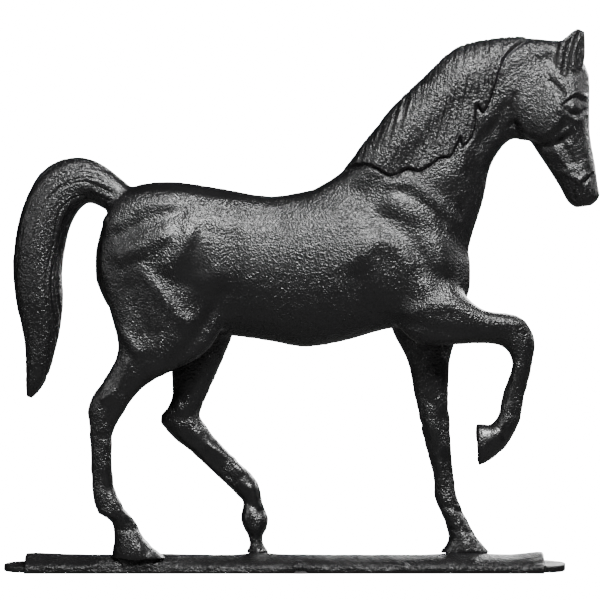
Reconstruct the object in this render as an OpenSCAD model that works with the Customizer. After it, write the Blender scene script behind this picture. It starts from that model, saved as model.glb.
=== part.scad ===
// Prancing horse on a ground rail, the turning figure of a weather vane.
// Millimetres, +Z up. The origin is on the pivot axis, at the face that rests on the mast.
// The head is toward +X, into the wind, and the parting plane of the two cast halves is Y = 0.

/* [Ground rail] */
// Length over the end tabs
rail_len = 350; // [340:1:370]
// Width across the rail
rail_w = 32; // [30:1:36]
// Height at the middle of the crowned top
rail_crown = 9.4; // [9.2:0.1:9.5]
// Height of the rail's long edges
rail_edge = 4.2; // [4:0.1:5]
// How far the middle of the rail lies behind the pivot
rail_back = 10; // [8:0.5:12]
// Width of the thin tab at each end
tab_w = 22; // [20:1:26]
// Thickness of the end tabs
tab_h = 3.8; // [3.4:0.1:4.2]
// Length of each end tab
tab_len = 14; // [12:1:16]
// Distance between the two fixing holes under the rail
fixing_pitch = 300; // [290:1:304]
// How far the middle of the two fixing holes lies behind the pivot
fixing_back = 6; // [4:0.5:8]

/* [Cast horse] */
// Wall of the hollow barrel
wall = 4; // [3:0.5:6]
// Height of the soles above the mast face
sole_z = 9.6; // [9.6:0.1:10]
// Sides of each rounded section
skin_sides = 20; // [16:4:24]
// Spline steps between two sections
skin_steps = 3; // [2:1:4]

/* [Pivot] */
// Diameter of the turning pin
pin_d = 10; // [9:0.5:11]
// Gap between the pin and its bush, on the radius
pin_gap = 0.05; // [0.03:0.01:0.08]
// Core diameter of the mast thread
mast_thread_d = 5; // [4:0.2:5]
// Depth of the mast thread
mast_thread_depth = 5; // [4:0.5:5]

/* [Fasteners] */
// Diameter of the screws that close the two halves
body_screw_d = 4; // [3:0.5:4]
// Diameter of the dowels between the halves
dowel_d = 4; // [3:0.5:4]
// Diameter of the screws up into the hooves
hoof_screw_d = 3; // [2.5:0.5:3]

/* [Hidden] */
$fn = 64;
cut = 0.5;

// ---- Heights of the pivot stack, from the mast face up
ring_h = 1.6;
stem_h = 1.9;
flange_h = 1.5;
pin_top = 6.6;
dome_h = 0.5;
pad_h = 1;
stem_r = 7;
flange_r = 11;
ring_bore_r = 7.6;
ring_r = 16;
ring_screw_circle = 13.4;
bush_wall = 2.5;
bush_r = pin_d / 2 + pin_gap + bush_wall;
flange_top = stem_h + flange_h;
seal_gap = 0.4;

// ---- Rail
rail_x0 = -rail_back - rail_len / 2;
rail_x1 = -rail_back + rail_len / 2;
crown_rise = rail_crown - rail_edge;
crown_r = (rail_w * rail_w / 4 + crown_rise * crown_rise) / (2 * crown_rise);
fixing_x = [-fixing_back - fixing_pitch / 2, -fixing_back + fixing_pitch / 2];
insert_r = 3.5;
insert_h = 6;
insert_bore_r = 2.1;
boss_r = 7;
boss_h = 7.6;
recess_h = 3;
recess_w = 20;

// ---- Screws: hooves are [x, y], body screws are [x, z, seat y, tip y], dowels are [x, z]
hoof_spots = [[-101, -10.5], [-27, 10], [104, 10]];
hoof_pad_half = [7, 0, 7];
hoof_pad_r = [9, 8, 9];
hoof_grip = 6;
hoof_head_r = 2.9;
hoof_head_h = 1.8;
body_screw_spots = [[-85, 195, 19, -13], [38, 195, 19, -13], [90, 262, 10, -8]];
body_head_r = 3.5;
body_head_h = 2.6;
dowel_spots = [[-55, 200], [70, 200]];
dowel_half = 6;
inner_boss_r = 6;

// ---- Sections of the horse: [x, z, half length, tilt from +X, y, half thickness]
barrel = [
    [-127, 190, 10, 90, 0, 4], [-118, 195, 33, 90, 0, 18], [-104, 196.5, 42.5, 90, 0, 23],
    [-80, 196.5, 45.5, 90, 0, 26], [-50, 192.5, 45.5, 90, 0, 25], [-20, 188, 45, 90, 0, 24],
    [2, 187.5, 48.5, 90, 0, 25], [28, 192, 49, 90, 0, 25], [55, 194, 43.5, 90, 0, 24],
    [82, 189, 38, 90, 0, 21], [96, 184, 30, 90, 0, 15], [105, 185, 10, 90, 0, 5]];
neck = [
    [60, 200, 56, -45, 0, 21], [72, 231, 44, -42, 0, 18], [88, 260, 39, -50, 0, 16],
    [101, 282, 34, -60, 0, 14], [120, 297, 31, -72, 0, 12], [142, 297, 30, -90, 0, 12],
    [154, 299, 25, -94, 0, 11]];
head = [
    [161, 323, 10, -8, 0, 6], [158, 308, 20, 0, 0, 12], [156.5, 285, 22, 0, 0, 14.5],
    [159.5, 270, 19.5, 0, 0, 13], [166.5, 253, 15.5, 0, 0, 10], [172, 239, 12, 0, 0, 9.5],
    [175, 231, 10, 8, 0, 8.5], [175, 226.5, 5, 8, 0, 5]];
mane = [
    [12, 229, 9, -60, 0, 9], [30, 237, 12, -68, 0, 13], [45, 248, 19.5, -75, 0, 17],
    [63, 267, 22, -75, 0, 18], [83, 287, 21, -75, 0, 16], [100, 303, 21, -78, 0, 15],
    [118, 310, 19, -85, 0, 13], [136, 318, 12.5, -95, 0, 11], [150, 321, 8.5, -100, 0, 9],
    [160, 321, 8, -105, 0, 7]];
tail = [
    [-100, 222, 10, 62, 0, 9], [-120, 237, 11, 63, 0, 9], [-134, 242, 14.5, 90, 0, 11],
    [-148.5, 234, 19, 110, 0, 12], [-157.5, 217.5, 19.5, 127, 0, 13], [-162.5, 195, 18, 143, 0, 13],
    [-162.5, 168, 15.5, 165, 0, 12], [-161.5, 144, 10.5, 167, 0, 9], [-164.5, 121, 6.5, 160, 0, 6],
    [-168.5, 108, 2, 160, 0, 2]];
near_hind_leg = [
    [-85, 205, 38, 0, -12, 10], [-84, 178, 41, -12, -13, 12], [-86, 150, 33, -18, -13.5, 12],
    [-96, 132, 18, -22, -14, 10], [-108, 119, 12.5, -12, -14, 8], [-119.5, 103, 11.5, -8, -14, 7.5],
    [-123, 85, 7, 0, -13.5, 6], [-122, 54, 7, 0, -13, 5.5], [-118.5, 42, 8.5, 5, -12.5, 7],
    [-116.5, 38, 8.5, 5, -12.5, 7], [-110, 33, 7, 5, -11.5, 6.5], [-106, 21, 9.5, 0, -11, 8],
    [-100, sole_z, 17, 0, -10.5, 10]];
far_hind_leg = [
    [-70, 190, 25, 0, 12, 10], [-62, 155, 22, 0, 14, 12], [-66, 125, 15, 0, 14, 10],
    [-70, 106, 11, 5, 14, 8], [-75.5, 93, 12.5, 8, 14, 7.5], [-60.5, 76.5, 8.5, 35, 13.5, 6],
    [-43.5, 60, 8, 42, 13, 5.5], [-33.5, 50, 7.5, 35, 12.5, 6.5], [-30, 41, 6, 0, 12, 6],
    [-29, 30, 8.7, 0, 11.5, 8], [-28, 17, 4, 0, 10.5, 5], [-27, sole_z, 7, 0, 10, 6]];
far_fore_leg = [
    [72, 180, 22, 0, 11, 10], [77, 149, 21, -4, 12, 11], [80, 130, 13.5, 0, 12.5, 9.5],
    [82, 107, 10.5, 0, 12, 8], [85.5, 82, 8.5, 0, 12, 7.5], [89.5, 57, 6.3, 0, 11.5, 6],
    [91, 44, 7, 5, 11, 6.5], [97, 30, 7, 5, 10.5, 7], [102, 18, 9.5, 0, 10, 8.5],
    [103, sole_z, 16, 0, 10, 10]];
near_fore_leg = [
    [61, 181, 25, 80, -11, 9], [74, 169, 25, 74, -12.5, 11], [87, 160, 21, 68, -14, 12],
    [108, 153, 11.5, 70, -14.5, 10], [128.5, 150.5, 11, 61, -14, 8], [137, 139, 10.5, 47, -14, 7.5],
    [135.5, 126, 8, 27, -13.5, 6.5], [131.5, 112, 7, 0, -13, 5.5], [128.5, 97, 7, -5, -13, 6.5],
    [123, 87, 8, -43, -13, 7], [114.5, 82, 11.5, -75, -13, 8.5], [109, 80, 13, -86, -13, 8.5]];
near_ear = [
    [161, 298, 6, 0, -5, 3], [163, 309, 9, 0, -7, 4], [167, 323, 9, -25, -7.5, 3.5],
    [172, 335, 3, -25, -8, 1.5]];
far_ear = [
    [163, 297, 6, 0, 5, 3], [165, 307, 8, 0, 7, 4], [169, 321, 8, -15, 7.5, 3.5],
    [173.5, 334, 3, -20, 8, 1.5]];

// ---- Lofting
function blend(a, b, c, d, t) =
    0.5 * (2 * b + (c - a) * t + (2 * a - 5 * b + 4 * c - d) * t * t + (3 * b - a - 3 * c + d) * t * t * t);
function pick(list, i) = list[max(0, min(len(list) - 1, i))];
function smooth(list, steps) = concat(
    [for (i = [0 : len(list) - 2], s = [0 : steps - 1])
        blend(pick(list, i - 1), list[i], list[i + 1], pick(list, i + 2), s / steps)],
    [list[len(list) - 1]]);
function ring(s, sides) = [
    for (k = [0 : sides - 1])
        let (a = 360 * k / sides)
        [s[0] + s[2] * cos(s[3]) * cos(a), s[4] + s[5] * sin(a), s[1] + s[2] * sin(s[3]) * cos(a)]];

// Whether a loft sets out along the normal of its first section or against it
function runs_forward(a, b) = (b[1] - a[1]) * cos(a[3]) > (b[0] - a[0]) * sin(a[3]);
function turned(face, flip) = flip ? [for (i = [len(face) - 1 : -1 : 0]) face[i]] : face;

// A closed skin through elliptical sections
module loft(sections, sides = skin_sides, steps = skin_steps) {
    rows = smooth(sections, steps);
    flip = !runs_forward(rows[0], rows[1]);
    last = (len(rows) - 1) * sides;
    points = [for (s = rows) each ring(s, sides)];
    quads = [for (r = [0 : len(rows) - 2], k = [0 : sides - 1])
        let (n = (k + 1) % sides)
        turned([r * sides + k, (r + 1) * sides + k, (r + 1) * sides + n, r * sides + n], flip)];
    caps = [
        turned([for (k = [0 : sides - 1]) k], flip),
        turned([for (k = [sides - 1 : -1 : 0]) last + k], flip)];
    polyhedron(points, concat(quads, caps), convexity = 8);
}

module horse() {
    loft(barrel, 24);
    for (part = [neck, head, mane, tail, near_hind_leg, far_hind_leg, far_fore_leg, near_fore_leg])
        loft(part);
    for (part = [near_ear, far_ear])
        loft(part, 12, 2);
}

// The hollow of the barrel, less the pillars that the screws and dowels pass through
module barrel_hollow() {
    difference() {
        loft([for (s = barrel) if (s[5] > 3 * wall) [s[0], s[1], s[2] - wall, s[3], 0, s[5] - wall]], 16, 2);
        for (p = concat([for (s = body_screw_spots) [s[0], s[1]]], dowel_spots))
            pillar(p);
    }
}

module pillar(p) {
    translate([p[0], 0, p[1]])
        rotate([90, 0, 0])
            cylinder(r = inner_boss_r, h = rail_w * 2, center = true, $fn = 24);
}

// One half of the horse as a single skin; side is -1 for the near half and 1 for the far half
module cast_half(side) {
    resize([0, 0, 0])
        intersection() {
            difference() {
                horse();
                barrel_hollow();
            }
            translate([-250, side < 0 ? -100 : 0, 0])
                cube([500, 100, 400]);
        }
}

// ---- Rods along Y and up Z
module rod_y(x, z, y0, y1, r) {
    translate([x, y1, z])
        rotate([90, 0, 0])
            cylinder(r = r, h = y1 - y0);
}

module hoof_holes(side) {
    for (p = hoof_spots)
        if (sign(p[1]) == side)
            translate([p[0], p[1], sole_z - cut])
                cylinder(d = hoof_screw_d, h = hoof_grip + cut);
}

module dowel_holes() {
    for (d = dowel_spots)
        rod_y(d[0], d[1], -dowel_half, dowel_half, dowel_d / 2);
}

module horse_near_half() {
    color([0.10, 0.10, 0.11])
        difference() {
            cast_half(-1);
            for (s = body_screw_spots)
                rod_y(s[0], s[1], s[3], cut, body_screw_d / 2);
            dowel_holes();
            hoof_holes(-1);
        }
}

module horse_far_half() {
    color([0.12, 0.12, 0.13])
        difference() {
            cast_half(1);
            for (s = body_screw_spots) {
                rod_y(s[0], s[1], -cut, s[2] + cut, body_screw_d / 2);
                rod_y(s[0], s[1], s[2], rail_w, body_head_r + 0.3);
            }
            dowel_holes();
            hoof_holes(1);
        }
}

// Socket-head screws from the far side into the near half
module body_screws() {
    color("silver")
        for (s = body_screw_spots)
            difference() {
                union() {
                    rod_y(s[0], s[1], s[3], s[2] + cut, body_screw_d / 2);
                    rod_y(s[0], s[1], s[2], s[2] + body_head_h, body_head_r);
                }
                translate([s[0], s[2] + body_head_h + cut, s[1]])
                    rotate([90, 0, 0])
                        cylinder(d = body_screw_d, h = body_head_h / 2 + cut, $fn = 6);
            }
}

module dowel_pins() {
    color("silver")
        dowel_holes();
}

// ---- Ground rail
module end_tab(x, toward) {
    translate([x - toward * tab_w / 2, 0, 0])
        cylinder(d = tab_w, h = tab_h);
    translate([toward < 0 ? x + tab_w / 2 : x - tab_len - tab_w / 2, -tab_w / 2, 0])
        cube([tab_len, tab_w, tab_h]);
}

module crowned_bar() {
    bar_x0 = rail_x0 + tab_len;
    bar_len = rail_len - 2 * tab_len;
    intersection() {
        translate([bar_x0, -rail_w / 2, 0])
            cube([bar_len, rail_w, rail_crown]);
        translate([bar_x0, 0, rail_crown - crown_r])
            rotate([0, 90, 0])
                cylinder(r = crown_r, h = bar_len, $fn = 128);
    }
}

module hoof_pads() {
    for (i = [0 : 2])
        hull()
            for (end = [-1, 1])
                translate([hoof_spots[i][0] + end * hoof_pad_half[i], hoof_spots[i][1], tab_h / 2])
                    cylinder(r = hoof_pad_r[i] - 3, h = sole_z - tab_h / 2, $fn = 32);
}

// Shallow hollows under the rail, clear of every boss
module rail_recess(x0, x1) {
    difference() {
        translate([x0, -recess_w / 2, -cut])
            cube([x1 - x0, recess_w, recess_h + cut]);
        for (p = hoof_spots)
            translate([p[0], p[1], -2 * cut])
                cylinder(r = hoof_head_r + 3, h = recess_h + 3 * cut);
    }
}

module ground_rail() {
    color([0.11, 0.11, 0.12])
        difference() {
            union() {
                crowned_bar();
                end_tab(rail_x0, -1);
                end_tab(rail_x1, 1);
                hoof_pads();
            }
            rail_recess(fixing_x[0] + 2 * boss_r, -ring_r - boss_r);
            rail_recess(ring_r + boss_r, fixing_x[1] - 2 * boss_r);
            for (x = fixing_x)
                translate([x, 0, -cut])
                    cylinder(r = insert_r, h = insert_h + cut);
            for (p = hoof_spots) {
                translate([p[0], p[1], -cut])
                    cylinder(d = hoof_screw_d + 0.2, h = sole_z + 2 * cut);
                translate([p[0], p[1], -cut])
                    cylinder(r = hoof_head_r + 0.2, h = hoof_head_h + 0.2 + cut);
            }
            pivot_housing();
        }
}

// Stepped bore of the rail that holds the ring, the flange, the bush and the pad
module pivot_housing() {
    translate([0, 0, -cut])
        cylinder(r = ring_r, h = ring_h + cut);
    cylinder(r = flange_r + 0.6, h = flange_top + seal_gap);
    cylinder(r = bush_r, h = pin_top);
    cylinder(r = pin_d / 2 - 1, h = pin_top + pad_h);
    ring_screw_places()
        cylinder(r = 0.9, h = ring_h + 3.4);
}

// Hexagon-socket screws from under the rail into the soles
module hoof_screws() {
    color("silver")
        for (p = hoof_spots)
            translate([p[0], p[1], 0.2])
                difference() {
                    union() {
                        cylinder(r = hoof_head_r, h = hoof_head_h);
                        cylinder(d = hoof_screw_d, h = sole_z + hoof_grip - 0.7);
                    }
                    translate([0, 0, -cut])
                        cylinder(d = 2.4, h = 1 + cut, $fn = 6);
                }
}

module fixing_inserts() {
    color("goldenrod")
        for (x = fixing_x)
            translate([x, 0, 0])
                difference() {
                    cylinder(r = insert_r, h = insert_h);
                    translate([0, 0, -cut])
                        cylinder(r = insert_bore_r, h = insert_h + 2 * cut);
                }
}

// ---- Pivot
module pivot_post() {
    color("gray")
        difference() {
            union() {
                cylinder(r = stem_r, h = stem_h);
                translate([0, 0, stem_h])
                    cylinder(r = flange_r, h = flange_h);
                translate([0, 0, flange_top])
                    cylinder(d = pin_d, h = pin_top - dome_h - flange_top);
                translate([0, 0, pin_top - dome_h])
                    cylinder(r1 = pin_d / 2, r2 = 1.5, h = dome_h);
            }
            translate([0, 0, -cut])
                cylinder(d = mast_thread_d, h = mast_thread_depth + cut);
        }
}

module pivot_bush() {
    color("darkgoldenrod")
        translate([0, 0, flange_top + seal_gap])
            difference() {
                cylinder(r = bush_r, h = pin_top - flange_top - seal_gap);
                translate([0, 0, -cut])
                    cylinder(r = pin_d / 2 + pin_gap, h = pin_top);
            }
}

module thrust_pad() {
    color("ivory")
        translate([0, 0, pin_top])
            cylinder(r = pin_d / 2 - 1, h = pad_h);
}

module ring_screw_places() {
    for (a = [45 : 90 : 315])
        rotate([0, 0, a])
            translate([ring_screw_circle, 0, 0])
                children();
}

module retaining_ring() {
    color("dimgray")
        difference() {
            cylinder(r = ring_r, h = ring_h);
            translate([0, 0, -cut])
                cylinder(r = ring_bore_r, h = ring_h + 2 * cut);
            ring_screw_places()
                translate([0, 0, -cut])
                    cylinder(r = 1.1, h = ring_h + 2 * cut);
            ring_screw_places()
                translate([0, 0, -cut])
                    cylinder(r = 1.9, h = 0.9 + cut);
        }
}

module ring_screws() {
    color("silver")
        ring_screw_places()
            difference() {
                union() {
                    translate([0, 0, 0.1])
                        cylinder(r = 1.8, h = 0.8);
                    translate([0, 0, 0.1])
                        cylinder(r = 0.9, h = ring_h + 3);
                }
                translate([0, 0, -cut])
                    cylinder(r = 0.75, h = 1, $fn = 6);
            }
}

// Felt washer that keeps dirt out of the bush
module dust_seal() {
    color("black")
        translate([0, 0, flange_top])
            difference() {
                cylinder(r = flange_r - 0.5, h = seal_gap);
                translate([0, 0, -cut])
                    cylinder(r = pin_d / 2 + 0.5, h = seal_gap + 2 * cut);
            }
}

horse_near_half();
horse_far_half();
body_screws();
dowel_pins();
ground_rail();
hoof_screws();
fixing_inserts();
pivot_post();
pivot_bush();
thrust_pad();
retaining_ring();
ring_screws();
dust_seal();
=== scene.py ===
import math

import bmesh
import bpy
import numpy as np
from mathutils import Matrix, Vector


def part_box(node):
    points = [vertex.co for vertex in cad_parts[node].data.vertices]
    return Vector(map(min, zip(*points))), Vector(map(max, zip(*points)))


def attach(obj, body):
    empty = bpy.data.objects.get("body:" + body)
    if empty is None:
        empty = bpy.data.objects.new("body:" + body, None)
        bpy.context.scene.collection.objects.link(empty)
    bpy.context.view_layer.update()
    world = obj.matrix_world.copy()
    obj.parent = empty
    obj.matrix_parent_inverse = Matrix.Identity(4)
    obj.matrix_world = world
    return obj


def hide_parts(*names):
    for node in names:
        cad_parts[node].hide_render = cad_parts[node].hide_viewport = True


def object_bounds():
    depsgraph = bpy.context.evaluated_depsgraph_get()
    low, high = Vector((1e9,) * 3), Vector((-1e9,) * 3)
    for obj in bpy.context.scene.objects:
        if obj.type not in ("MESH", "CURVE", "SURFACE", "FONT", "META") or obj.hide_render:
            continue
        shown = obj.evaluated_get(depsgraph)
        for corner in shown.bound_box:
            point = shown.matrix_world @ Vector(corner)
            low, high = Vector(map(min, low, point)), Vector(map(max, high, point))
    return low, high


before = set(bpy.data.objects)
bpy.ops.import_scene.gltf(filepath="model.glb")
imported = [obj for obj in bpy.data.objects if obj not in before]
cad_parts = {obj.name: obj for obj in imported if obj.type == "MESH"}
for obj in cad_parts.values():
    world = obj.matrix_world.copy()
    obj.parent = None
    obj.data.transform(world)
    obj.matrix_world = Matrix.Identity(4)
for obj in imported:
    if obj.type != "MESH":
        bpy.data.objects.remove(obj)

# Everything is in metres, in the row frame. The head is toward +X, the near side is -Y.
# Places on the horse are in hundredths of the figure's length, from the tail side and the soles.
MM = 0.001
cad_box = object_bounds()
near_lo, near_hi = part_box("horse_near_half")
far_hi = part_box("horse_far_half")[1]
FIGURE_X0 = near_lo.x
FIGURE_Z0 = near_lo.z
UNIT = (near_hi.x - near_lo.x) / 100

# Cell size of the remeshed horse and of the remeshed rail
COARSE_VOXEL = 1.38 * MM
RAIL_VOXEL = 0.9 * MM
# Points closer than this are one point, and closer to Y = 0 they are on the parting plane
SAME_PLACE = 1e-6
# Reach round a body screw's axis within which faces belong to its hole
SCREW_HOLE_R = 4.0 * MM
# Radius of the wells that the body screws' heads sit in
HEAD_WELL_R = 3.8 * MM
BODY = "vane"


# ---------------------------------------------------------------- mesh helpers
def new_object(name, mesh):
    obj = bpy.data.objects.new(name, mesh)
    bpy.context.scene.collection.objects.link(obj)
    return obj


def with_modifier(mesh, kind, **settings):
    """The mesh after one modifier."""
    obj = new_object("modifier_work", mesh)
    mod = obj.modifiers.new("work", kind)
    for key, value in settings.items():
        setattr(mod, key, value)
    depsgraph = bpy.context.evaluated_depsgraph_get()
    result = bpy.data.meshes.new_from_object(obj.evaluated_get(depsgraph))
    bpy.data.objects.remove(obj)
    return result


def read_points(mesh):
    flat = np.empty(len(mesh.vertices) * 3, np.float32)
    mesh.vertices.foreach_get("co", flat)
    return flat.reshape(-1, 3).astype(float)


def write_points(mesh, points):
    mesh.vertices.foreach_set("co", points.astype(np.float32).ravel())
    mesh.update()


def read_normals(mesh):
    flat = np.empty(len(mesh.vertices) * 3, np.float32)
    mesh.vertices.foreach_get("normal", flat)
    return flat.reshape(-1, 3).astype(float)


def read_edges(mesh):
    flat = np.empty(len(mesh.edges) * 2, np.int32)
    mesh.edges.foreach_get("vertices", flat)
    return flat.reshape(-1, 2)


def relax(mesh, rounds, weight=1.0, shrink_back=True):
    """Smooths the mesh; the second pass of each round undoes the shrinking."""
    points = read_points(mesh)
    edges = read_edges(mesh)
    count = np.bincount(edges.ravel(), minlength=len(points)).astype(float)
    count[count == 0] = 1
    steps = (0.5, -0.52) if shrink_back else (0.5,)
    weight = np.broadcast_to(np.asarray(weight, float), (len(points),))[:, None]
    for _ in range(rounds):
        for step in steps:
            total = np.stack([
                np.bincount(edges[:, 0], points[edges[:, 1], k], len(points))
                + np.bincount(edges[:, 1], points[edges[:, 0], k], len(points))
                for k in range(3)], axis=1)
            points = points + step * weight * (total / count[:, None] - points)
    write_points(mesh, points)


# ---------------------------------------------------------------- the horse's skin
def largest_shell(bm):
    """Deletes every connected part but the one with the longest side."""
    seen, shells = set(), []
    for face in bm.faces:
        if face in seen:
            continue
        shell, todo = [], [face]
        seen.add(face)
        while todo:
            here = todo.pop()
            shell.append(here)
            for edge in here.edges:
                for other in edge.link_faces:
                    if other not in seen:
                        seen.add(other)
                        todo.append(other)
        shells.append(shell)

    def span(shell):
        xs = [v.co.x for f in shell for v in f.verts]
        return max(xs) - min(xs)

    keep = set(max(shells, key=span))
    bmesh.ops.delete(bm, geom=[f for f in bm.faces if f not in keep], context="FACES")


def screw_axes():
    """(x, z) of each body screw."""
    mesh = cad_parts["body_screws"].data
    bm = bmesh.new()
    bm.from_mesh(mesh)
    bmesh.ops.remove_doubles(bm, verts=bm.verts, dist=SAME_PLACE)
    seen, spots = set(), []
    for start in bm.verts:
        if start in seen:
            continue
        group, todo = [], [start]
        seen.add(start)
        while todo:
            vert = todo.pop()
            group.append(vert.co.copy())
            for edge in vert.link_edges:
                other = edge.other_vert(vert)
                if other not in seen:
                    seen.add(other)
                    todo.append(other)
        spots.append((sum(c.x for c in group) / len(group), sum(c.z for c in group) / len(group)))
    bm.free()
    return spots


def outer_skin(node):
    """The half's outer surface, closed on the parting plane, without its hollow and screw holes."""
    bm = bmesh.new()
    bm.from_mesh(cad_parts[node].data)
    bmesh.ops.remove_doubles(bm, verts=bm.verts, dist=SAME_PLACE)
    on_plane = [f for f in bm.faces if all(abs(v.co.y) < SAME_PLACE for v in f.verts)]
    bmesh.ops.delete(bm, geom=on_plane, context="FACES")
    largest_shell(bm)
    for x, z in screw_axes():
        in_hole = [f for f in bm.faces
                   if all(math.hypot(v.co.x - x, v.co.z - z) < SCREW_HOLE_R for v in f.verts)]
        bmesh.ops.delete(bm, geom=in_hole, context="FACES")
    rim = [e for e in bm.edges if e.is_boundary and all(abs(v.co.y) < SAME_PLACE for v in e.verts)]
    bmesh.ops.triangle_fill(bm, edges=rim, use_beauty=True, use_dissolve=False)
    open_edges = [e for e in bm.edges if e.is_boundary]
    bmesh.ops.holes_fill(bm, edges=open_edges, sides=0)
    bmesh.ops.triangulate(bm, faces=bm.faces)
    bmesh.ops.recalc_face_normals(bm, faces=bm.faces)
    mesh = bpy.data.meshes.new(node + "_skin")
    bm.to_mesh(mesh)
    bm.free()
    return mesh


def joined_skin():
    """Both halves as one closed surface."""
    return combined(outer_skin("horse_near_half"), outer_skin("horse_far_half"), "UNION")


# ---------------------------------------------------------------- noise and distances
def hashed(ix, iy, iz, seed):
    """A repeatable value from 0 to 1 for each lattice point."""
    n = (ix * 374761393 + iy * 668265263 + iz * 2147483647 + seed * 974634777) & 0xFFFFFFFF
    n = ((n ^ (n >> 13)) * 1274126177) & 0xFFFFFFFF
    return ((n ^ (n >> 16)) & 0xFFFF) / 65535.0


def noise(x, y, z, seed=0):
    """Smooth value noise from -1 to 1; its lumps are one unit wide."""
    cells = [np.floor(c).astype(np.int64) for c in (x, y, z)]
    parts = [c - i for c, i in zip((x, y, z), cells)]
    eased = [t * t * (3 - 2 * t) for t in parts]
    total = np.zeros_like(x)
    for dx in (0, 1):
        wx = eased[0] if dx else 1 - eased[0]
        for dy in (0, 1):
            wy = eased[1] if dy else 1 - eased[1]
            for dz in (0, 1):
                wz = eased[2] if dz else 1 - eased[2]
                total += wx * wy * wz * hashed(cells[0] + dx, cells[1] + dy, cells[2] + dz, seed)
    return 2 * total - 1


def smoothstep(low, high, value):
    """Rises smoothly from 0 at low to 1 at high."""
    t = np.clip((value - low) / (high - low), 0, 1)
    return t * t * (3 - 2 * t)


def rounded(path, steps=6):
    """The path's points with curved stretches between them."""
    pts = [np.array(p, float) for p in path]
    count = len(pts)
    out = []
    for i in range(count - 1):
        p0, p1, p2, p3 = (pts[min(max(i + k, 0), count - 1)] for k in (-1, 0, 1, 2))
        for step in range(steps):
            t = step / steps
            out.append(0.5 * (2 * p1 + (p2 - p0) * t + (2 * p0 - 5 * p1 + 4 * p2 - p3) * t * t
                              + (3 * p1 - p0 - 3 * p2 + p3) * t ** 3))
    out.append(pts[-1])
    return np.array(out)


def stroke_line(path):
    """A path of two points stays straight; a longer one is rounded."""
    return rounded(path) if len(path) > 2 else np.array(path, float)


def along(a, b, path):
    """Distance of each point from the path, how far along the path it is, and which side it is on."""
    best = np.full(len(a), 1e9)
    where = np.zeros(len(a))
    side = np.zeros(len(a))
    lengths = np.hypot(*(path[1:] - path[:-1]).T)
    start = np.concatenate([[0], np.cumsum(lengths)])
    for i in range(len(path) - 1):
        d = path[i + 1] - path[i]
        span = max(lengths[i], 1e-9)
        ra, rb = a - path[i][0], b - path[i][1]
        t = np.clip((ra * d[0] + rb * d[1]) / span ** 2, 0, 1)
        dist = np.hypot(ra - t * d[0], rb - t * d[1])
        near = dist < best
        best = np.where(near, dist, best)
        where = np.where(near, start[i] + t * span, where)
        side = np.where(near, (d[0] * rb - d[1] * ra) / span, side)
    return best, where, side


def inside(a, b, loop):
    """Whether each point lies inside the closed loop."""
    hit = np.zeros(len(a), bool)
    for (a1, b1), (a2, b2) in zip(loop, np.roll(loop, -1, axis=0)):
        if b1 == b2:
            continue
        cross = (b1 > b) != (b2 > b)
        hit ^= cross & (a < (a2 - a1) * (b - b1) / (b2 - b1) + a1)
    return hit


# ---------------------------------------------------------------- sculpting
class Sculpt:
    """The horse's points with their places on the figure, ready to be pushed in and out."""

    def __init__(self, mesh):
        self.mesh = mesh
        self.refresh()

    def refresh(self):
        self.points = read_points(self.mesh)
        self.normals = read_normals(self.mesh)
        self.a = (self.points[:, 0] - FIGURE_X0) / UNIT
        self.b = (self.points[:, 2] - FIGURE_Z0) / UNIT
        self.y = self.points[:, 1] / MM
        self.flank = np.abs(self.normals[:, 1])

    def push(self, millimetres, sideways=False):
        """Moves the points out along their normals, or straight out to their own side."""
        way = self.normals
        if sideways:
            way = np.zeros_like(self.normals)
            way[:, 1] = np.sign(self.normals[:, 1])
        self.points = self.points + way * (millimetres * MM)[:, None]
        write_points(self.mesh, self.points)
        self.refresh()

    def stroke(self, path, width, height):
        """Height in mm of a soft ridge along the path; a groove has a negative height."""
        dist, _, _ = along(self.a, self.b, stroke_line(path))
        return height * np.exp(-(dist / width) ** 2) * smoothstep(0.15, 0.6, self.flank)

    def mound(self, centre, radii, height, turn=0.0):
        """Height in mm of a soft oval mound."""
        c, s = math.cos(math.radians(turn)), math.sin(math.radians(turn))
        da, db = self.a - centre[0], self.b - centre[1]
        u, v = (da * c + db * s) / radii[0], (db * c - da * s) / radii[1]
        return height * np.exp(-(u * u + v * v)) * smoothstep(0.15, 0.6, self.flank)


def smooth_casting(mesh):
    """Takes the facets out: most on the barrel and the neck, least on the thin legs."""
    points = read_points(mesh)
    a = (points[:, 0] - FIGURE_X0) / UNIT
    b = (points[:, 2] - FIGURE_Z0) / UNIT
    relax(mesh, 6)
    trunk = smoothstep(40, 46, b) * smoothstep(10, 16, a) * (1 - smoothstep(84, 88, a))
    relax(mesh, 60, trunk)
    seams = smoothstep(30, 36, b) * (1 - smoothstep(52, 56, b)) * smoothstep(10, 14, a)
    relax(mesh, 14, seams, shrink_back=False)
    flank = smoothstep(0.1, 0.4, np.abs(read_normals(mesh)[:, 1]))
    neck = smoothstep(47, 50, a) * (1 - smoothstep(89, 91, a)) * smoothstep(58, 61, b)
    under_mane = neck * smoothstep(0.0, 3.0, b - 1.3 * a + 34)
    relax(mesh, 40, under_mane * flank, shrink_back=False)


def refine(mesh, chosen):
    """Splits the faces whose centres are chosen by the function into four."""
    bm = bmesh.new()
    bm.from_mesh(mesh)
    edges = set()
    for face in bm.faces:
        c = face.calc_center_median()
        if chosen((c.x - FIGURE_X0) / UNIT, (c.z - FIGURE_Z0) / UNIT):
            edges.update(face.edges)
    in_order = [e for e in bm.edges if e in edges]  # a set's own order changes from run to run
    bmesh.ops.subdivide_edges(bm, edges=in_order, cuts=1, use_grid_fill=True, smooth=0.0)
    bmesh.ops.triangulate(bm, faces=[f for f in bm.faces if len(f.verts) > 4])
    bm.to_mesh(mesh)
    bm.free()


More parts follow.
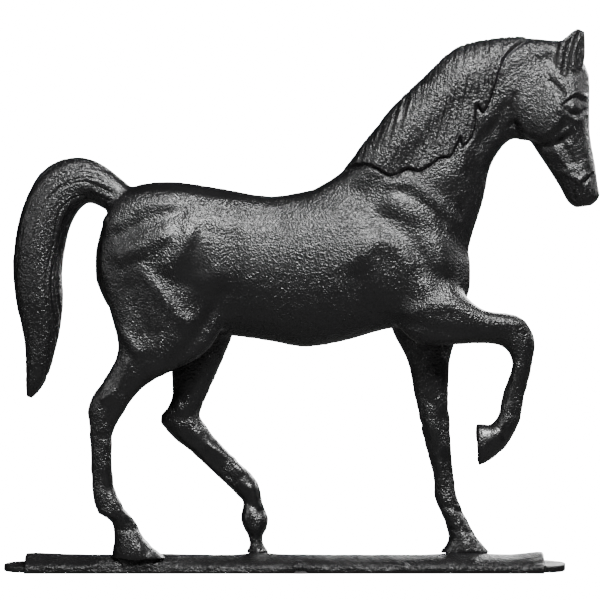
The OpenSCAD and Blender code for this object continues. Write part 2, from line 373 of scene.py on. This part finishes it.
# Ridges (positive) and grooves (negative): path, width in hundredths, height in mm
TRUNK_STROKES = [
    ([(17, 57), (20, 60), (26, 61)], 2.2, 1.5),
    ([(18.5, 55), (23, 57.5), (29, 59)], 1.4, -1.5),
    ([(19, 51.5), (22, 53), (26, 55)], 1.6, 1.6),
    ([(27, 50), (29, 53), (30.5, 55.5)], 1.5, 1.1),
    ([(33, 56), (32, 52), (30.5, 47)], 1.6, -0.8),
    ([(37.5, 54), (38, 49), (36.5, 44)], 2.2, -1.1),
    ([(31.5, 46), (35, 48)], 1.8, 0.9),
    ([(22.5, 49), (26, 44.5), (28.5, 41.5), (30, 40.5)], 1.2, 1.1),
    ([(20.5, 46), (22, 42), (23.5, 38.5)], 1.7, -1.5),
    ([(19.3, 38.5), (20.3, 37), (21.3, 35.5)], 0.9, 1.2),
    ([(36, 45), (32, 38.6), (28, 34)], 1.2, -1.4),
    ([(64, 63.7), (67.5, 63.8), (70, 62), (73, 59.7), (75.5, 57)], 1.1, 1.1),
    ([(65.5, 62.2), (68, 61.2), (70.5, 59.3), (73, 57)], 0.7, -0.4),
    ([(65, 60.4), (69, 58), (72, 54), (72.5, 50.5)], 2.4, 1.5),
    ([(62, 57.6), (66, 54.8), (69.7, 50.6), (73, 46.8)], 1.7, -1.3),
    ([(58.5, 50.5), (60.5, 53), (63.3, 53.8), (66, 52.5), (67.4, 50)], 1.7, 1.3),
    ([(58.8, 50), (60, 46), (61.5, 41.5)], 1.4, -1.3),
    ([(76.5, 60), (77.2, 55), (76.8, 50), (76.8, 46)], 1.3, -0.9),
    ([(68, 42), (73.4, 43.4), (78.2, 41.8), (83, 40.5), (86.5, 40)], 1.3, 1.1),
    ([(64, 41), (69.5, 39.6), (76, 38.4), (83, 37.6)], 1.1, -0.7),
    ([(78, 66), (79, 70), (81.5, 73)], 1.4, -1.2),
    ([(71, 64.5), (75, 65), (78, 68)], 2.2, 0.8),
]
# Soft oval mounds: centre, radii in hundredths, height in mm, turn in degrees
TRUNK_MOUNDS = [
    ((69.2, 46.8), (2.6, 2.2), 2.0, 0),
    ((20.5, 58.5), (4.5, 3.0), 0.8, 30),
    ((36, 60), (5, 1.6), 0.6, 0),
    ((24, 47), (6, 6), 0.8, 0),
    ((50, 50), (10, 7), 0.6, 0),
]
HEAD_STROKES = [
    ([(86.3, 73.6), (88, 71.6), (90, 71), (92.5, 71.6), (94.3, 73)], 0.55, 0.45),
    ([(84.8, 73.5), (86.4, 71.2), (89, 69.9), (92, 70.1), (94, 71.4)], 0.7, -1.1),
    ([(85.2, 78.5), (85, 76), (85.3, 73.6)], 0.55, -0.9),
    ([(83.4, 76.5), (82.5, 74.5), (81, 72.5)], 0.9, -0.8),
    ([(91.5, 70), (93, 68), (94.5, 66)], 0.5, 0.6),
    ([(93, 70.6), (94.2, 69), (95, 67.2)], 0.5, -0.7),
    ([(91.2, 80.9), (92, 80.1), (93, 79.1)], 0.55, -1.3),
    ([(92.8, 76.2), (93.8, 78), (95.4, 78.9), (97, 78.4)], 0.45, 0.9),
    ([(93.2, 75.9), (94.6, 74.6), (96.2, 74.4), (97.3, 75.4)], 0.35, 0.5),
    ([(92.9, 76.6), (93.9, 77.4), (95.4, 78.1), (96.8, 77.5)], 0.3, -0.8),
    ([(93.1, 76.4), (94.4, 75.5), (96, 75.2), (97, 76)], 0.3, -0.7),
    ([(96.3, 63.8), (97.2, 65.1), (98.4, 65.3)], 0.55, 0.8),
    ([(97, 63.8), (97.7, 64.3), (98.3, 65.2)], 0.4, -1.1),
    ([(93.7, 65.6), (94.8, 64.9), (95.8, 64.3)], 0.5, 0.7),
    ([(95.6, 64.3), (95.1, 62.8), (95.4, 61)], 0.3, -0.7),
    ([(88, 86.8), (88.6, 85.2), (89.8, 83.8)], 0.4, -0.5),
    ([(91.4, 84), (92.6, 83), (93.8, 82)], 0.5, -0.4),
    ([(93.6, 82.4), (94, 85.4), (94.9, 88.4), (95.6, 89.6)], 0.5, -1.6),
    ([(94.9, 83), (95.2, 86), (96.2, 88.6)], 0.4, 0.9),
    ([(92.6, 83.2), (92.9, 86), (93.8, 88.6)], 0.45, 0.8),
    ([(96.6, 74), (97.2, 70), (98, 66.5)], 0.6, 0.5),
    ([(94, 74), (95, 70.5), (95.8, 67.5)], 0.9, -0.5),
]
EYE = (95.2, 76.55)
CHEEK = (89.4, 75.8)
NEAR_LEG_STROKES = [
    ([(20, 33.5), (18.2, 29.5), (15.6, 27.2)], 0.55, 1.0),
    ([(16.8, 26), (17.2, 24)], 1.0, -0.8),
    ([(15.4, 24), (15.4, 18), (16, 13.5)], 0.5, 0.5),
    ([(17.2, 23), (17.2, 17), (17.4, 13)], 0.45, -0.5),
    ([(17, 10.5), (19.2, 7.6)], 0.8, 0.8),
    ([(17.5, 5.2), (20.2, 4.9), (22.2, 5.4)], 0.45, -0.9),
    ([(20.5, 4), (22, 2)], 1.0, 0.6),
    ([(86, 39.4), (87.6, 36.5), (87.6, 33.5)], 0.7, -0.5),
    ([(84, 36.5), (84.5, 32), (83.4, 27)], 0.5, -0.5),
    ([(85.7, 33), (84.8, 27), (83.6, 23.4)], 0.6, 0.6),
    ([(82, 23.3), (83.6, 20.6), (84.3, 19.2)], 0.4, -0.9),
]
FAR_LEG_STROKES = [
    ([(26.5, 23.5), (28.5, 23.3), (30, 23.5)], 0.5, -0.5),
    ([(27, 27), (28.5, 25)], 0.9, 0.8),
    ([(33.5, 18.5), (36.5, 16.5), (39, 14)], 0.5, 0.9),
    ([(32, 17.5), (35.5, 14.5), (37.5, 12.5)], 0.5, -0.7),
    ([(40.4, 8.6), (42, 7.4), (43.4, 7.6)], 0.4, -0.9),
    ([(70.5, 26), (72.3, 18), (73.4, 12)], 0.6, 0.6),
    ([(73, 26), (74, 18), (74.6, 13)], 0.5, -0.6),
    ([(73.5, 33.5), (74.5, 29)], 1.2, 0.8),
    ([(74.5, 8), (77.6, 7)], 0.5, -0.8),
    ([(75, 4.2), (79, 3.6)], 0.4, -0.7),
]


# How much the heights above are raised when they are applied
RIDGE_GAIN = 1.35
GROOVE_GAIN = 1.1
HEAD_GAIN = 1.3


def sculpt_trunk(work):
    total = np.zeros(len(work.a))
    for path, width, height in TRUNK_STROKES:
        total += (RIDGE_GAIN if height > 0 else GROOVE_GAIN) * work.stroke(path, width, height)
    for centre, radii, height, turn in TRUNK_MOUNDS:
        total += work.mound(centre, radii, height, turn)
    work.push(total)


def sculpt_legs(work):
    total = np.zeros(len(work.a))
    for side, strokes in ((-1, NEAR_LEG_STROKES), (1, FAR_LEG_STROKES)):
        on_side = smoothstep(1, 4, side * work.y)
        for path, width, height in strokes:
            total += work.stroke(path, width, height) * on_side
    x, y, z = (work.points / MM).T
    below_knee = 1 - smoothstep(24, 34, work.b)
    work.push(total + 0.45 * noise(x / 5, y / 5, z / 5, 71) * below_knee)


def sculpt_head(work):
    """Fills out the brow, nose and lips, then adds the relief, the flat round jowl and the eyeball."""
    brow = 3.2 * np.exp(-(((work.a - 94.8) / 3.0) ** 2 + ((work.b - 77.5) / 4.5) ** 2))
    nose = 1.6 * np.exp(-(((work.a - 96.2) / 2.2) ** 2 + ((work.b - 68) / 5.5) ** 2))
    lips = 1.2 * np.exp(-(((work.a - 96.3) / 2.2) ** 2 + ((work.b - 64) / 2.5) ** 2))
    beside = smoothstep(0.05, 0.35, work.flank) * smoothstep(58, 60, work.b)
    work.push((brow + nose + lips) * beside, sideways=True)
    on_head = smoothstep(80, 83, work.a) * smoothstep(58, 60, work.b)
    total = np.zeros(len(work.a))
    for path, width, height in HEAD_STROKES:
        total += HEAD_GAIN * work.stroke(path, width, height) * on_head
    reach = np.hypot((work.a - CHEEK[0]) / 4.0, (work.b - CHEEK[1]) / 4.6)
    jowl = (1 - smoothstep(0.75, 1.15, reach)) * smoothstep(0.15, 0.6, work.flank)
    total += jowl * (1.5 - 0.35 * np.clip(work.b - CHEEK[1], -4, 4))
    dist = np.hypot(work.a - EYE[0], (work.b - EYE[1]) * 1.15)
    total += 1.5 * np.sqrt(np.clip(1 - (dist / 1.0) ** 2, 0, 1)) * (work.flank > 0.2)
    work.push(total)


# Lower edge of the mane from the withers to the poll, then back along above the crest
MANE_EDGE = [
    (54, 64.5), (57.5, 66.4), (59.8, 66.9), (61.5, 66.5), (64.2, 65.1), (66.9, 66.2), (69, 65.9),
    (70.8, 66.8), (72.6, 68.1), (74.3, 68.4), (75.4, 70.2), (75.9, 71.5), (76.6, 70.2), (78.2, 72.3),
    (78.6, 75.1), (78.8, 77), (79.9, 75.8), (81.2, 78.3), (82.4, 82.2), (83.5, 85), (85.4, 86.9),
    (88, 88.6)]
MANE_CREST = [(88, 96), (70, 92), (56, 78), (50, 66)]


def hair_strands(parting):
    """Level hair with a sharp groove wherever the parting noise crosses zero."""
    return 1 - 2.2 * np.exp(-(parting / 0.22) ** 2)


def sculpt_mane(work):
    """A raised plate with an undercut edge, combed into locks that lean back from the crest."""
    edge = rounded(MANE_EDGE, steps=4)
    loop = np.concatenate([edge, np.array(MANE_CREST)])
    dist, _, _ = along(work.a, work.b, edge)
    within = inside(work.a, work.b, loop)
    signed = np.where(within, dist, -dist)
    near_mane = smoothstep(48, 50, work.a) * (np.abs(signed) < 40)
    plate = 1.7 * smoothstep(-0.12, 0.22, signed) * near_mane
    undercut = -1.3 * np.exp(-((signed + 0.24) / 0.22) ** 2) * near_mane
    side_weight = smoothstep(0.05, 0.5, work.flank)
    lean = np.radians(np.interp(work.a, [52, 66, 80, 88], [38, 32, 22, 12]))
    across = work.a * np.cos(lean) - work.b * np.sin(lean)
    along_lock = work.a * np.sin(lean) + work.b * np.cos(lean)
    drift = 0.5 * noise(work.a * 0.35, work.b * 0.35, np.sign(work.y) * 3, 5)
    locks = noise(across * 0.62 + drift, along_lock * 0.05, np.zeros_like(work.a), 11)
    parting = noise(across * 1.25 + 1.5 * drift, along_lock * 0.07, np.zeros_like(work.a), 23)
    strands = hair_strands(parting)
    fine = noise(across * 4.0 + 2 * drift, along_lock * 0.3, np.zeros_like(work.a), 37)
    hair = 0.25 * locks + 0.3 * strands + 0.2 * fine
    total = (plate + hair * smoothstep(0.1, 0.5, signed) * near_mane) * side_weight
    total += hair * 0.15 * (1 - side_weight) * smoothstep(0.1, 0.5, signed) * near_mane
    work.push(total + undercut * side_weight)


# Middle line of the tail from the dock to the tip
TAIL_LINE = [
    (22, 58.5), (16, 62.5), (12, 63.8), (8, 61.5), (5.5, 57), (4.2, 51), (4, 43.5), (4.4, 37),
    (3.7, 31), (2.6, 27)]


def sculpt_tail(work):
    """Long hair that runs with the tail's middle line."""
    line = rounded(TAIL_LINE, steps=5)
    dist, where, side = along(work.a, work.b, line)
    on_tail = (1 - smoothstep(15.5, 19.5, work.a)) * ((work.a < 12.6) | (work.b > 57)) * (dist < 8)
    drift = 0.35 * noise(where * 0.12, side * 0.5, np.sign(work.y) * 3, 41)
    waves = side + drift + 0.25 * np.sin(where * 0.45)
    parting = noise(waves * 1.15, where * 0.05, np.sign(work.y) * 2, 43)
    strands = hair_strands(parting)
    locks = noise(waves * 0.8, where * 0.06, np.sign(work.y) * 2, 47)
    fine = noise(waves * 3.6, where * 0.2, np.zeros_like(where), 53)
    work.push((0.28 * strands + 0.3 * locks + 0.15 * fine) * on_tail)


def cast_roughness(work):
    """The lumpy skin of the sand casting, in geometry."""
    x, y, z = (work.points / MM).T
    legs = 1 - smoothstep(30, 46, work.b)
    coarse = noise(x / 3.2, y / 3.2, z / 3.2, 61)
    pitted = smoothstep(0.0, 0.5, noise(x / 11, y / 11, z / 11, 73)) * legs
    work.push((0.04 + 0.1 * legs) * coarse + (0.05 + 0.28 * pitted) * noise(x / 1.7, y / 1.7, z / 1.7, 67))


def box_mesh(name, lo, hi):
    bm = bmesh.new()
    bmesh.ops.create_cube(bm, size=1)
    for vert in bm.verts:
        vert.co = Vector(lo[k] + (vert.co[k] + 0.5) * (hi[k] - lo[k]) for k in range(3))
    mesh = bpy.data.meshes.new(name)
    bm.to_mesh(mesh)
    bm.free()
    return mesh


def combined(mesh, tool, operation):
    """The mesh cut with the tool, or by it."""
    cutter = new_object("cutter_work", tool)
    result = with_modifier(mesh, "BOOLEAN", operation=operation, solver="MANIFOLD", object=cutter)
    bpy.data.objects.remove(cutter)
    return result


def counterbores(mesh):
    """The wells that the body screws' heads sit in, on the far side."""
    depth = far_hi.y + 5 * MM
    for x, z, head in body_screw_heads():
        bm = bmesh.new()
        bmesh.ops.create_cone(bm, cap_ends=True, segments=48, radius1=HEAD_WELL_R, radius2=HEAD_WELL_R,
                              depth=depth - head)
        bmesh.ops.rotate(bm, verts=bm.verts, matrix=Matrix.Rotation(math.radians(90), 3, "X"))
        bmesh.ops.translate(bm, verts=bm.verts, vec=(x, (depth + head) / 2, z))
        tool = bpy.data.meshes.new("well")
        bm.to_mesh(tool)
        bm.free()
        mesh = combined(mesh, tool, "DIFFERENCE")
    return mesh


def body_screw_heads():
    """(x, z, underside of the head) of each body screw."""
    points = read_points(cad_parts["body_screws"].data)
    heads = []
    for x, z in screw_axes():
        off = np.hypot(points[:, 0] - x, points[:, 2] - z)
        wide = points[(off > 3 * MM) & (off < 5 * MM)]
        heads.append((x, z, wide[:, 1].min()))
    return heads


def casting_grain(mesh):
    """How rough the paint is over the horse: smooth along the back and in the hollows."""
    points = read_points(mesh)
    a = (points[:, 0] - FIGURE_X0) / UNIT
    b = (points[:, 2] - FIGURE_Z0) / UNIT
    back_line = np.interp(a, [18, 26, 34, 42, 48, 54], [62.3, 62.2, 61.0, 60.6, 61.2, 63.5])
    back_band = smoothstep(-0.6, 0.8, b - back_line) * smoothstep(15, 18, a) * (1 - smoothstep(52, 55, a))
    x, y, z = (points / MM).T
    patches = smoothstep(-0.5, 0.5, noise(x / 9, y / 9, z / 9, 83))
    legs = 1 - smoothstep(20, 42, b)
    amount = 0.8 + 0.2 * patches - 0.55 * legs * (1 - patches)
    for path, width, height in TRUNK_STROKES:
        if height < 0:
            dist, _, _ = along(a, b, stroke_line(path))
            amount -= 0.15 * np.exp(-(dist / (1.3 * width)) ** 2)
    croup = np.exp(-(((a - 31) / 4) ** 2 + ((b - 51) / 8) ** 2))
    return np.clip(amount - 0.55 * back_band - 0.45 * croup, 0.12, 1)


def finish_piece(name, mesh, node, grain):
    """One visible piece that rides on the turning body in place of its CAD node."""
    layer = mesh.attributes.new("grain", "FLOAT", "POINT")
    layer.data.foreach_set("value", grain.astype(np.float32))
    flat = [all(abs(mesh.vertices[v].co.y) < 1e-7 for v in poly.vertices) for poly in mesh.polygons]
    mesh.polygons.foreach_set("use_smooth", [not f for f in flat])
    piece = new_object(name, mesh)
    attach(piece, BODY)
    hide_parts(node)
    return piece


# Lumps on top of the rail, in mm: x, y, reach, height
HOOF_PADS = [
    (-101, -9, 11, 1.8), (-120, -12, 6, 1.6), (-80, -10, 8, 0.9), (-27, 8, 8, 1.4),
    (104, 5, 10, 1.6), (88, -6, 7, 1.0), (-166, 3, 9, 1.0), (150, 3, 9, 1.4)]
RAIL_HALF_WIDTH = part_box("ground_rail")[1].y
# Reach of the pivot's housing from the axis, in mm
PIVOT_REACH = 20
# The rear insert's bore and its mirror image at the front, in mm: distance from the axis and reach
INSERT_X = 156
INSERT_REACH = 9
INSERT_TOP = 6


def make_rail():
    """The ground rail as cast: lumpy long edges, pads under the hooves and a wavy crown."""
    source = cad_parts["ground_rail"].data.copy()
    mesh = with_modifier(source, "REMESH", mode="VOXEL", voxel_size=RAIL_VOXEL)
    relax(mesh, 2)
    x, y, z = (read_points(mesh) / MM).T
    normals = read_normals(mesh)
    faces_up = normals[:, 2] > 0.3
    outside = smoothstep(1.2, 2.6, z) * (faces_up | (np.hypot(x, y) > PIVOT_REACH))
    by_insert = (np.abs(np.abs(x) - INSERT_X) < INSERT_REACH) * (np.abs(y) < INSERT_REACH)
    outside *= 1 - by_insert * (z < INSERT_TOP) * (normals[:, 2] < 0.3)
    edge = smoothstep(0.75, 1.0, np.abs(y) / (RAIL_HALF_WIDTH / MM))
    lumps = 0.7 * noise(x / 7, y / 7, z / 4, 91) + 0.45 * noise(x / 3, y / 3, z / 2.5, 97)
    swell = 0.5 * noise(x / 38, y / 18, z * 0, 101)
    total = (lumps * (0.22 + 0.6 * edge) + swell) * outside
    pads = np.zeros(len(x))
    for px, py, reach, height in HOOF_PADS:
        pads += height * np.exp(-(((x - px) / (1.6 * reach)) ** 2 + ((y - py) / reach) ** 2))
    points = read_points(mesh) + normals * (total * MM)[:, None]
    points[:, 2] += pads * MM * outside * (normals[:, 2] > 0.2)
    write_points(mesh, points)
    roughness = np.clip(0.5 + 0.5 * edge + 0.3 * np.clip(pads, 0, 1), 0, 1)
    return finish_piece("rail_casting", mesh, "ground_rail", roughness)


# ---------------------------------------------------------------- the three castings
skin = joined_skin()
skin = with_modifier(skin, "REMESH", mode="VOXEL", voxel_size=COARSE_VOXEL)
smooth_casting(skin)
refine(skin, lambda a, b: (a > 52 and b > 63 and (b - 63) > (a - 78) * 1.2) or (a > 84 and b > 59)
       or (a < 17 and (b > 57 or a < 11)))
work = Sculpt(skin)
sculpt_trunk(work)
sculpt_legs(work)
sculpt_mane(work)
sculpt_head(work)
sculpt_tail(work)
cast_roughness(work)
near_space = box_mesh("near_space", (-1, -1, -1), (1, 0, 1))
near_mesh = combined(skin, near_space, "INTERSECT")
far_mesh = counterbores(combined(skin, near_space, "DIFFERENCE"))
near_piece = finish_piece("horse_near_casting", near_mesh, "horse_near_half", casting_grain(near_mesh))
far_piece = finish_piece("horse_far_casting", far_mesh, "horse_far_half", casting_grain(far_mesh))
rail_piece = make_rail()


# ---------------------------------------------------------------- materials
def node_material(name, color, roughness, metallic=0.0):
    material = bpy.data.materials.new(name)
    material.use_nodes = True
    tree = material.node_tree
    shader = tree.nodes["Principled BSDF"]
    shader.inputs["Base Color"].default_value = (*color, 1)
    shader.inputs["Roughness"].default_value = roughness
    shader.inputs["Metallic"].default_value = metallic
    return material, tree, shader


def add_node(tree, kind, links=(), **values):
    """A node with its settings; links are (input name, output socket) pairs."""
    node = tree.nodes.new(kind)
    for key, value in values.items():
        if key in node.inputs:
            node.inputs[key].default_value = value
        else:
            setattr(node, key, value)
    for name, socket in links:
        tree.links.new(socket, node.inputs[name])
    return node


def black_paint(name, smoothest, roughest, shine):
    """Semi-gloss black paint over a rough sand casting: every grain glints."""
    material, tree, shader = node_material(name, (0.003, 0.003, 0.0032), smoothest)
    shader.inputs["Specular IOR Level"].default_value = shine
    place = add_node(tree, "ShaderNodeTexCoord").outputs["Object"]
    grain = add_node(tree, "ShaderNodeTexNoise", [("Vector", place)],
                     Scale=980.0, Detail=1.0, Roughness=0.5)
    pits = add_node(tree, "ShaderNodeTexVoronoi", [("Vector", place)], Scale=560.0)
    patches = add_node(tree, "ShaderNodeTexNoise", [("Vector", place)], Scale=60.0, Detail=3.0)
    fac = grain.outputs["Fac"]
    height = add_node(tree, "ShaderNodeMath", [(0, fac), (1, pits.outputs["Distance"]), (2, fac)],
                      operation="MULTIPLY_ADD")
    gloss = add_node(tree, "ShaderNodeMapRange", [("Value", patches.outputs["Fac"])])
    gloss.inputs["To Min"].default_value = smoothest
    gloss.inputs["To Max"].default_value = roughest
    tree.links.new(gloss.outputs["Result"], shader.inputs["Roughness"])
    rough = add_node(tree, "ShaderNodeAttribute", attribute_name="grain").outputs["Fac"]
    bump = add_node(tree, "ShaderNodeBump", [("Height", height.outputs[0]), ("Strength", rough)],
                    Distance=0.0005)
    tree.links.new(bump.outputs["Normal"], shader.inputs["Normal"])
    return material


def machined(name, color, roughness, metallic, grain_scale, depth):
    """Bare metal, nylon or felt: a colour that varies a little, and a fine surface texture."""
    material, tree, shader = node_material(name, color, roughness, metallic)
    place = add_node(tree, "ShaderNodeTexCoord").outputs["Object"]
    marks = add_node(tree, "ShaderNodeTexNoise", [("Vector", place)], Scale=grain_scale, Detail=4.0)
    tone = add_node(tree, "ShaderNodeMapRange", [("Value", marks.outputs["Fac"])])
    tone.inputs["To Min"].default_value = 0.75
    tone.inputs["To Max"].default_value = 1.2
    tint = add_node(tree, "ShaderNodeVectorMath", [(0, tone.outputs["Result"])], operation="MULTIPLY")
    tint.inputs[1].default_value = color
    tree.links.new(tint.outputs[0], shader.inputs["Base Color"])
    bump = add_node(tree, "ShaderNodeBump", [("Height", marks.outputs["Fac"])],
                    Strength=0.4, Distance=depth)
    tree.links.new(bump.outputs["Normal"], shader.inputs["Normal"])
    return material


def use_material(obj, material):
    obj.data.materials.clear()
    obj.data.materials.append(material)


horse_paint = black_paint("horse_paint", 0.26, 0.4, 0.5)
for piece in (near_piece, far_piece):
    use_material(piece, horse_paint)
use_material(rail_piece, black_paint("rail_paint", 0.34, 0.46, 0.32))
screw_steel = machined("screw_steel", (0.3, 0.3, 0.31), 0.35, 1.0, 900.0, 0.00005)
turned_steel = machined("turned_steel", (0.42, 0.42, 0.44), 0.25, 1.0, 1400.0, 0.00004)
bronze = machined("bronze", (0.55, 0.33, 0.14), 0.35, 1.0, 700.0, 0.00005)
brass = machined("brass", (0.62, 0.45, 0.17), 0.3, 1.0, 700.0, 0.00005)
nylon = machined("nylon", (0.72, 0.7, 0.64), 0.45, 0.0, 500.0, 0.00005)
felt = machined("felt", (0.05, 0.05, 0.055), 0.95, 0.0, 2500.0, 0.0004)
NODE_MATERIALS = {
    "body_screws": screw_steel, "dowel_pins": turned_steel, "hoof_screws": screw_steel,
    "fixing_inserts": brass, "pivot_post": turned_steel, "pivot_bush": bronze, "thrust_pad": nylon,
    "retaining_ring": screw_steel, "ring_screws": screw_steel, "dust_seal": felt}
for node_name, material in NODE_MATERIALS.items():
    use_material(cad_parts[node_name], material)


# ---------------------------------------------------------------- stage, lights, camera
def make_floor():
    """White to the camera, dark to the figure, so it throws no light up at the belly."""
    mesh = bpy.data.meshes.new("floor")
    half, z = 6, -0.25
    corners = [(-half, -half, z), (half, -half, z), (half, half, z), (-half, half, z)]
    mesh.from_pydata(corners, [], [(0, 1, 2, 3)])
    floor = new_object("floor", mesh)
    material, tree, shader = node_material("pale_floor", (0.1, 0.1, 0.1), 0.9)
    seen = add_node(tree, "ShaderNodeEmission", Color=(1, 1, 1, 1), Strength=WHITE)
    ray = add_node(tree, "ShaderNodeLightPath")
    mix = add_node(tree, "ShaderNodeMixShader", [(0, ray.outputs["Is Camera Ray"]), (1, shader.outputs[0]),
                                                 (2, seen.outputs[0])])
    tree.links.new(mix.outputs[0], tree.nodes["Material Output"].inputs["Surface"])
    mesh.materials.append(material)


def area_light(name, place, aim, size, power):
    data = bpy.data.lights.new(name, "AREA")
    data.shape = "RECTANGLE"
    data.size, data.size_y = size
    data.energy = power
    obj = bpy.data.objects.new(name, data)
    obj.location = place
    obj.rotation_euler = (Vector(aim) - Vector(place)).to_track_quat("-Z", "Y").to_euler()
    bpy.context.scene.collection.objects.link(obj)


def make_world():
    """White to the camera; a dim room, lighter above than below, to the figure."""
    world = bpy.data.worlds.new("studio")
    bpy.context.scene.world = world
    world.use_nodes = True
    tree = world.node_tree
    room = tree.nodes["Background"]
    room.inputs["Strength"].default_value = ROOM_LIGHT
    way = add_node(tree, "ShaderNodeTexCoord")
    up = add_node(tree, "ShaderNodeSeparateXYZ", [(0, way.outputs["Generated"])])
    shade = add_node(tree, "ShaderNodeMapRange", [("Value", up.outputs["Z"])])
    shade.inputs["From Min"].default_value = -0.3
    shade.inputs["From Max"].default_value = 0.9
    shade.inputs["To Min"].default_value = 0.1
    tree.links.new(shade.outputs["Result"], room.inputs["Color"])
    seen = add_node(tree, "ShaderNodeBackground", Color=(1, 1, 1, 1), Strength=WHITE)
    ray = add_node(tree, "ShaderNodeLightPath")
    mix = add_node(tree, "ShaderNodeMixShader", [(0, ray.outputs["Is Camera Ray"]), (1, room.outputs[0]),
                                                 (2, seen.outputs[0])])
    tree.links.new(mix.outputs[0], tree.nodes["World Output"].inputs["Surface"])


WHITE = 20.0
ROOM_LIGHT = 0.012
make_floor()
make_world()
box_centre = (cad_box[0] + cad_box[1]) / 2
area_light("key", (0.25, -0.95, 1.2), box_centre, (0.5, 0.35), 72)
area_light("fill", (-1.2, -0.8, 0.7), box_centre, (0.4, 0.4), 9)
area_light("back", (0.6, 1.2, 0.6), box_centre, (0.8, 0.4), 26)
area_light("side", (1.3, 0.4, 0.7), box_centre, (0.5, 0.5), 7)

CAMERA_DISTANCE = 1.6
CAMERA_ELEVATION = math.radians(3)
FIELD_WIDTH = 0.372
SENSOR = 36
CAMERA_HEIGHT = 168.6 * MM
aim = Vector((-0.4 * MM, 0, CAMERA_HEIGHT))
camera_data = bpy.data.cameras.new("camera")
camera_data.sensor_width = SENSOR
camera_data.lens = SENSOR * CAMERA_DISTANCE / FIELD_WIDTH
camera = bpy.data.objects.new("camera", camera_data)
bpy.context.scene.collection.objects.link(camera)
back = Vector((0, -math.cos(CAMERA_ELEVATION), math.sin(CAMERA_ELEVATION)))
camera.location = aim + back * CAMERA_DISTANCE
camera.rotation_euler = (-back).to_track_quat("-Z", "Y").to_euler()
bpy.context.scene.camera = camera
